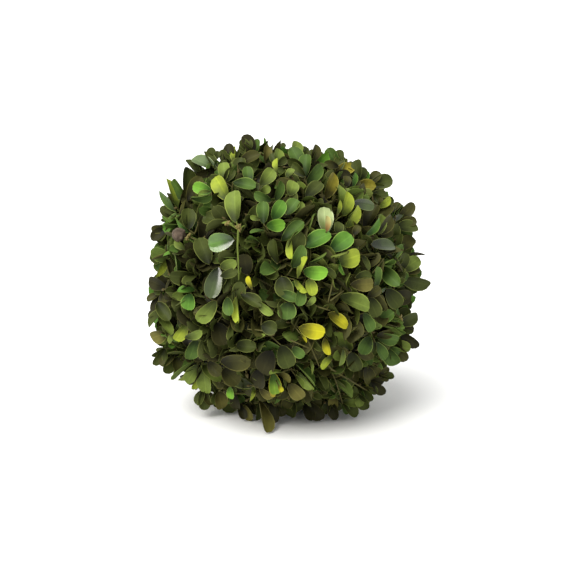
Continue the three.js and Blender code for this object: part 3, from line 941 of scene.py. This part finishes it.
def linear(hex_colour):
    """A colour in linear light from its sRGB hex value."""
    channels = [int(hex_colour[i : i + 2], 16) / 255 for i in (1, 3, 5)]
    lit = [c / 12.92 if c <= 0.04045 else ((c + 0.055) / 1.055) ** 2.4 for c in channels]
    return (*lit, 1)


def new_material(name):
    """An empty node material, with its tree and its output node."""
    material = bpy.data.materials.new(name)
    material.use_nodes = True
    tree = material.node_tree
    tree.nodes.clear()
    return material, tree, add_node(tree, "ShaderNodeOutputMaterial")


def add_surface(tree, output, height, relief, inputs):
    """The surface that a material ends in, with relief given by a height."""
    bump = add_node(tree, "ShaderNodeBump", {"Height": height} | relief)
    inputs |= {"Normal": bump.outputs[0]}
    surface = add_node(tree, "ShaderNodeBsdfPrincipled", inputs)
    tree.links.new(surface.outputs[0], output.inputs[0])


LEAF_MOTTLES = 4  # across
LEAF_RIPPLES = 3.125
LEAF_RELIEF = 0.6  # height of the ripples, coarser than life so that they show
WAX_IOR = 1.42
RIM_SHARE = 0.65
NOISE_RANGE = (0.3, 0.7)  # that nearly all of a noise lies in
# What a leaf's face works out in turn: its name, how, and from what. A ramp has where it starts
# and stops, and what it gives there.
LEAF_STEPS = [
    ("mottling", "RAMP", "mottles", *NOISE_RANGE, -0.15, 0.15),
    ("own_tone", "MULTIPLY", "tone", 0.5),
    # partly the leaf's own tone towards its tip, partly painted shade: the root takes the deep
    # colour
    ("tip_tone_and_root_shade", "RAMP", "along", 0.05, 0.75, -0.4, 0.5),
    ("mottled_tone", "ADD", "mottling", "own_tone"),
    ("shade", "ADD", "mottled_tone", "tip_tone_and_root_shade"),
    ("off_rib", "ABSOLUTE", "across"),
    # painted shade: the root darker, where the leaves round it shade it. With the paler rib it
    # scales the colour.
    ("shaded_root", "RAMP", "along", 0.0, 0.7, 0.4, 0.88),
    ("pale_rib", "RAMP", "off_rib", 0.0, 0.14, 1.2, 1.0),
    ("strength", "MULTIPLY", "shaded_root", "pale_rib"),
    ("side_rim", "RAMP", "off_rib", 0.88, 1.0, 0, 1),
    ("tip_rim", "RAMP", "along", 0.98, 1, 0, 1),
    ("rim", "MAXIMUM", "side_rim", "tip_rim"),
    ("rim_share", "MULTIPLY", "rim", RIM_SHARE),
]


def leaf_face(name, light, deep, rim, wax, shine, ripples):
    """A face of a box leaf: tones differ from leaf to leaf, the root is darker with painted shade,
    the rim pale.
    """
    material, tree, output = new_material(name)
    place = add_node(tree, "ShaderNodeTexCoord").outputs["Object"]
    value = {}
    for label in ("tone", "along", "across"):
        value[label] = add_node(tree, "ShaderNodeAttribute", attribute_name=label).outputs["Fac"]
    for label, size, detail in (("mottles", LEAF_MOTTLES, 3), ("ripples", LEAF_RIPPLES, 2)):
        inputs = {"Vector": place, "Scale": 1 / (size * MM), "Detail": detail}
        value[label] = add_node(tree, "ShaderNodeTexNoise", inputs).outputs["Fac"]
    roughness = ("roughness", "RAMP", "mottles", *NOISE_RANGE, *wax)
    for label, operation, *given in [*LEAF_STEPS, roughness]:
        inputs = {number: value.get(source, source) for number, source in enumerate(given)}
        if operation == "RAMP":
            made = add_node(tree, "ShaderNodeMapRange", inputs, interpolation_type="SMOOTHSTEP")
        else:
            made = add_node(tree, "ShaderNodeMath", inputs, operation=operation)
        value[label] = made.outputs[0]
    inputs = {"Factor": value["shade"], 6: linear(deep), 7: linear(light)}
    blade = add_node(tree, "ShaderNodeMix", inputs, data_type="RGBA")
    inputs = {0: blade.outputs[2], "Scale": value["strength"]}
    lit = add_node(tree, "ShaderNodeVectorMath", inputs, operation="SCALE")
    inputs = {"Factor": value["rim_share"], 6: lit.outputs[0], 7: linear(rim)}
    coloured = add_node(tree, "ShaderNodeMix", inputs, data_type="RGBA")
    relief = {"Strength": ripples, "Distance": LEAF_RELIEF * MM}
    inputs = {"Base Color": coloured.outputs[2], "Roughness": value["roughness"]}
    inputs |= {"IOR": WAX_IOR, "Specular IOR Level": shine}
    add_surface(tree, output, value["ripples"], relief, inputs)
    return material


# The dull finishes: sRGB colour, roughness, the strength of the darkest and of the lightest
# mottles, and how wide these are
MATT_FINISHES = {
    # Olive bark, dull and dark between the leaves
    "green_box_bark": ("#4d4a28", 0.7, 0.85, 1.15, 10 / 3),
    # Young bark, greener and a little smoother
    "young_green_bark": ("#525e24", 0.6, 0.85, 1.15, 10 / 3),
    # Papery scales that look dark against the leaves
    "brown_bud_scale": ("#4c4426", 0.6, 0.85, 1.15, 10 / 3),
    # Dry straw-coloured scales, which make the knots of buds stand out
    "pale_bud_scale": ("#6b6238", 0.6, 0.85, 1.15, 10 / 3),
    # A dusty grey-brown husk in strong mottles
    "dry_husk": ("#4b4035", 0.6, 0.6, 1.5, 2.5),
    # Loose moss, which has no shine and deep shade between its lumps
    "dried_moss": ("#423c24", 0.95, 0.5, 1.5, 2),
}
FIBRE_IOR = 1.45
FIBRE_SHINE = 0.12
FIBRE_RELIEF = {"Strength": 0.5, "Distance": 0.5 * MM}  # coarser than life too


def matt_face(name):
    """A dull plant surface with fine mottling: bark, bud scales, husk and moss."""
    colour, roughness, darkest, lightest, grain = MATT_FINISHES[name]
    material, tree, output = new_material(name)
    place = add_node(tree, "ShaderNodeTexCoord").outputs["Object"]
    inputs = {"Vector": place, "Scale": 1 / (grain * MM), "Detail": 4}
    mottles = add_node(tree, "ShaderNodeTexNoise", inputs).outputs["Fac"]
    inputs = dict(enumerate((mottles, *NOISE_RANGE, darkest, lightest)))
    strength = add_node(tree, "ShaderNodeMapRange", inputs)
    inputs = {0: linear(colour)[:3], "Scale": strength.outputs[0]}
    lit = add_node(tree, "ShaderNodeVectorMath", inputs, operation="SCALE")
    inputs = {"Base Color": lit.outputs[0], "Roughness": roughness}
    inputs |= {"IOR": FIBRE_IOR, "Specular IOR Level": FIBRE_SHINE}
    add_surface(tree, output, mottles, FIBRE_RELIEF, inputs)
    return material


# The pieces


def leaf_points(leaves):
    """A mesh with one point for each leaf's root, and what the spray tree reads there."""
    seeds = placed_mesh("leaf_points", [leaf["frame"].translation for leaf in leaves])
    turns = [tuple(leaf["frame"].to_quaternion()) for leaf in leaves]
    store(seeds, "turn", "QUATERNION", "POINT", turns)
    for label, kind in (("size", "FLOAT_VECTOR"), ("form", "INT"), ("tone", "FLOAT")):
        store(seeds, label, kind, "POINT", [leaf[label] for leaf in leaves])
    return seeds


def forms_collection(name, objects):
    """A collection outside the scene that the spray tree picks its forms from."""
    collection = bpy.data.collections.new(name)
    for made in objects:
        collection.objects.link(made)
    return collection


def add_leaves(leaves):
    """The leaves of each finish, as one piece."""
    forms = forms_collection("leaf_forms", [leaf_form(form) for form in range(LEAF_FORMS)])
    tree = spray_tree()
    pieces = []
    for name, (light, deep, under, rim) in LEAF_FINISHES.items():
        dealt = [leaf for leaf in leaves if leaf["finish"] == name]
        if not dealt:
            continue
        wax = GLOSSY_WAX if name.startswith("glossy") else WAX
        inputs = {
            "Forms": forms,
            "Upper": leaf_face(f"waxy_upper_face_{name}", light, deep, rim, *wax),
            "Underside": leaf_face(f"dull_underside_{name}", under, under, rim, *UNDERSIDE),
        }
        pieces.append(grown(f"leaves_{name}", leaf_points(dealt), tree, inputs))
    return pieces


def round_twigs(name, runs, sides, bark):
    """One piece of round twigs. Each run is a list of places, each with its radius."""
    points, edges, radii = [], [], []
    for places in runs:
        first = len(points)
        points.extend(place for place, _ in places)
        radii.extend(radius * MM for _, radius in places)
        edges.extend((first + i, first + i + 1) for i in range(len(places) - 1))
    seeds = placed_mesh("twig_lines", points, edges)
    store(seeds, "radius", "FLOAT", "POINT", radii)
    return grown(name, seeds, twig_tree(), {"Sides": sides, "Bark": bark})


def nearest_hold(point, holds):
    """The nearest place on the grown twigs that lies farther in than a point."""
    inner = [hold for hold in holds if hold.length < point.length - HOLD_BELOW]
    return min(inner or holds, key=lambda hold: (hold - point).length)


def add_twigs(shoots, twigs, placed):
    """Every stem, shoot and finer twig, and the stalk of each set leaf, as one piece."""
    runs, holds = [], []
    for sprig, own in enumerate(shoots):
        foot = AXES[sprig] * (CORE_RADIUS - FOOT_IN_CORE)
        runs.append([(foot, STEM_RADIUS), (own[-1][0], FORK_RADIUS)])
        for fork, tip in own:
            runs.append([(fork, FORK_RADIUS), (tip, SHOOT_TIP_RADIUS)])
            holds += [fork.lerp(tip, share) for share in SHOOT_HOLDS]
    for fork, tip, _ in twigs:
        middle = fork.lerp(tip, 0.5) * TWIG_BOW
        places = (fork, middle, tip)
        runs.append(list(zip(places, (SHOOT_TIP_RADIUS, TWIG_MIDDLE_RADIUS, TWIG_TIP_RADIUS))))
        holds += [fork.lerp(tip, share) for share in TWIG_HOLDS]
    ends = [(middle, (KNOT_STALK_RADIUS, KNOT_STALK_RADIUS)) for middle, _ in knot_places()]
    ends += [(leaf["frame"].translation, STALK_RADII) for leaf in placed]
    for end, radii in ends:
        runs.append(list(zip((nearest_hold(end, holds), end), radii)))
    runs.extend(bare_twig_runs(holds))
    return round_twigs("twigs", runs, TWIG_SIDES, matt_face("green_box_bark")), holds


def bare_twig_places():
    """The bare twigs at the front: both ends of each with its radius, and where it shows."""
    for place in BARE_TWIGS:
        ends = []
        for right, up, radius in (place[:2] + place[4:5], place[2:4] + place[5:6]):
            depth = front_depth(right, up, BARE_DEPTH)
            ends.append((front_place(right, up, depth), radius, depth))
        yield ends, place[:4] + (BARE_CLEAR,)


def bare_twig_runs(holds):
    """The runs of the bare twigs, each grown from the nearest of the others."""
    for ends, _ in bare_twig_places():
        (near, near_radius, _), (far, far_radius, _) = ends
        inner = near + (near - far) * BARE_BACK - near.normalized() * BARE_DIVE
        places = (nearest_hold(inner, holds), inner, near, far)
        yield list(zip(places, (near_radius, near_radius, near_radius, far_radius)))


def add_bare_stem(holds):
    """The bare stem that stands clear of the leaves, with its forked end, as one piece."""
    stem = [(on_crown(right, up, -STEM_OUT), radius) for right, up, radius in BARE_STEM]
    (top, top_radius), (foot, foot_radius) = stem[0], stem[-1]
    runs = [stem + [(nearest_hold(foot, holds), foot_radius)]]
    for right, up, radius in STEM_ARMS:
        arm_end = on_crown(right, up, -ARMS_OUT)
        runs.append([(top, top_radius * ARM_SHARE), (arm_end, radius)])
    return round_twigs("bare_stem", runs, STEM_SIDES, matt_face("young_green_bark"))


def budded(name, buds, scale):
    """One piece of buds, each given as its frame, its size and its tone."""
    points = [dict(frame=bud, size=(size,) * 3, form=0, tone=tone) for bud, size, tone in buds]
    forms = forms_collection(f"{name}_forms", [bud_form()])
    inputs = {"Forms": forms, "Upper": scale, "Underside": scale}
    return grown(name, leaf_points(points), spray_tree(), inputs)


def bud_size(draw):
    """The size of a bud, as a share of its form's."""
    least, most = BUD_SIZES
    return least + (most - least) * draw()


def add_buds(twigs):
    """A bud at the tip of every twig, as one piece."""
    buds = []
    for fork, tip, draw in twigs:
        along = (tip - fork).normalized()
        size = bud_size(draw)
        bud = leaf_frame(tip - along * BUD_SUNK, along, along.orthogonal(), draw() * math.pi)
        buds.append((bud, size, draw()))
    return budded("buds", buds, matt_face("brown_bud_scale"))


def knot_places():
    """The middle of each knot of buds, and of the seed capsule, and how many buds it has."""
    for right, up, depth_in, count in BUD_KNOTS:
        yield on_crown(right, up, depth_in), count
    yield on_crown(*CAPSULE[:3]), 0


def capsule_places():
    """Where the seed capsule and the bare stem show, to be kept clear like a set leaf."""
    right, up, depth_in, radius = CAPSULE
    depth = front_depth(right, up, depth_in)
    yield (right, up - radius, right, up + radius, 2 * radius), (depth, depth)
    (right, up, _), (foot_right, foot_up, _) = BARE_STEM[0], BARE_STEM[-1]
    depths = (front_depth(foot_right, foot_up, 0), front_depth(right, up, 0))
    yield (right, up, foot_right, foot_up, STEM_CLEAR), depths


def add_bud_knots():
    """The knots of small buds, as one piece."""
    draw = seeded(KNOT_SEED)
    buds = []
    for middle, count in knot_places():
        for _ in range(count):
            pointing = leaning(FRONT, KNOT_LEAN + draw(), draw() * 2 * math.pi)
            bud = leaf_frame(middle, pointing, pointing.orthogonal(), draw() * math.pi)
            buds.append((bud, bud_size(draw), draw()))
    return budded("bud_knots", buds, matt_face("pale_bud_scale"))


def lumpy_ball(name, middle, radius, fineness, rise, material):
    """One piece with an uneven round surface, which rises past a radius as rise says."""
    mesh = bpy.data.meshes.new(name)
    shape = bmesh.new()
    bmesh.ops.create_icosphere(shape, subdivisions=fineness, radius=radius * MM)
    for corner in shape.verts:
        way = corner.co.normalized()
        corner.co = CENTRE + (middle + way * (radius + rise(way))) * MM
    shape.to_mesh(mesh)
    shape.free()
    mesh.shade_smooth()
    mesh.materials.append(material)
    return in_scene(name, mesh)


def lump(way, lumps):
    """The height in a direction of lumps that are given as their number and their height."""
    return sum(noise.noise(way * count) * height for count, height in lumps)


def add_capsule():
    """The seed capsule: a round dry husk with three short horns, as one piece."""
    *place, radius = CAPSULE
    middle = on_crown(*place)
    aside, above = CAPSULE_FACING
    facing = leaf_frame(middle, FRONT + RIGHT * aside + FRONT_UP * above, UP, 0).to_3x3()
    along, off = HORN_WAY
    horns = []
    for number in range(HORN_COUNT):
        turn = 2 * math.pi * number / HORN_COUNT + HORN_TURN
        horn = Vector((along, off * math.cos(turn), off * math.sin(turn)))
        horns.append((facing @ horn).normalized())

    def rise(way):
        raised = sum(math.exp((way.dot(horn) - 1) / HORN_SPREAD) for horn in horns)
        return raised * HORN_RISE + lump(way, HUSK_LUMPS)

    husk = matt_face("dry_husk")
    return lumpy_ball("seed_capsule", middle, radius, CAPSULE_FINENESS, rise, husk)


def add_core():
    """The ball of dark moss that the sprigs are stuck in, lumpy and rough."""

    def rise(way):
        return MOSS_DEPTH + lump(way, MOSS_LUMPS)

    moss = matt_face("dried_moss")
    return lumpy_ball("moss_core", Vector(), CORE_RADIUS, CORE_FINENESS, rise, moss)


# The stage

AIM_BELOW = 0.001
SENSOR = 36
FLOOR_HALF = 6.0
FLOOR_ROUGHNESS = 0.9
SKY_STRENGTH = 0.85
LIGHT_DISTANCE = 1.2
# Azimuth, elevation, and strength or watts
SUN = (-42, 62, 3.5)
SUN_SPREAD = 50  # degrees
WINDOW = (-35, 35, 4.5)
WINDOW_SIZE = 0.35


def add_camera():
    """The camera: level with the front of the ball, looking a little down on it."""
    data = bpy.data.cameras.new("camera")
    data.sensor_width = SENSOR
    data.lens = SENSOR * CAMERA_DISTANCE / FRAME_WIDTH
    camera = in_scene("camera", data)
    camera.location = CENTRE - FRONT_UP * AIM_BELOW + FRONT * CAMERA_DISTANCE
    camera.rotation_euler = (math.pi / 2 - TILT, 0, 0)
    bpy.context.scene.camera = camera


def add_light(name, kind, azimuth, elevation, energy):
    """A light that faces the ball. Azimuth 0 is the camera's side, 90 its right."""
    turn, rise = math.radians(azimuth), math.radians(elevation)
    flat = math.cos(rise)
    way = Vector((flat * math.sin(turn), -flat * math.cos(turn), math.sin(rise)))
    data = bpy.data.lights.new(name, kind)
    data.energy = energy
    light = in_scene(name, data)
    light.location = CENTRE + way * LIGHT_DISTANCE
    light.rotation_euler = (-way).to_track_quat("-Z", "Y").to_euler()
    return data


def add_floor():
    """A plain white floor, matt like paper, that only shows the ball's soft shadow."""
    corners = [(x * FLOOR_HALF, y * FLOOR_HALF, 0) for x, y in ((-1, -1), (1, -1), (1, 1), (-1, 1))]
    mesh = new_mesh("floor", corners, [(0, 1, 2, 3)])
    material, tree, output = new_material("white_paper_floor")
    inputs = {"Base Color": linear("#f4f4f2"), "Roughness": FLOOR_ROUGHNESS}
    paper = add_node(tree, "ShaderNodeBsdfPrincipled", inputs)
    tree.links.new(paper.outputs[0], output.inputs[0])
    mesh.materials.append(material)
    in_scene("floor", mesh)


def add_stage():
    """The floor, a white sky, a broad even sun and one soft window."""
    add_floor()
    world = bpy.data.worlds.new("studio")
    world.use_nodes = True
    sky = world.node_tree.nodes["Background"]
    sky.inputs["Color"].default_value = linear("#ffffff")
    sky.inputs["Strength"].default_value = SKY_STRENGTH
    bpy.context.scene.world = world
    sun = add_light("soft_sun", "SUN", *SUN)
    sun.angle = math.radians(SUN_SPREAD)
    window = add_light("window", "AREA", *WINDOW)
    window.size = WINDOW_SIZE
    window.color = linear("#fffaf2")[:3]
    bpy.context.scene.view_settings.view_transform = "Standard"


add_camera()
add_stage()
shoots = [shoots_of(sprig) for sprig in range(SPRIG_COUNT)]
twigs = [twig for sprig, own in enumerate(shoots) for twig in twigs_of(sprig, own)]
placed = list(set_leaves())
kept_clear = [(leaf["place"], leaf["depths"]) for leaf in placed]
kept_clear += [(shown, (ends[1][2], ends[0][2])) for ends, shown in bare_twig_places()]
kept_clear += capsule_places()
twigs = drawn_back(twigs, kept_clear)
leaves = uncovering(grow_leaves(twigs), kept_clear) + placed
core = add_core()
twig_piece, holds = add_twigs(shoots, twigs, placed)
foliage = [*add_leaves(leaves), twig_piece, add_bare_stem(holds), add_buds(twigs)]
foliage += [add_bud_knots(), add_capsule()]
sprig_names = [f"sprig_{sprig + 1:02d}" for sprig in range(SPRIG_COUNT)]
for piece in foliage:
    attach(piece, "root")
    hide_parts(*sprig_names)
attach(core, "root")
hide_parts("core_ball")
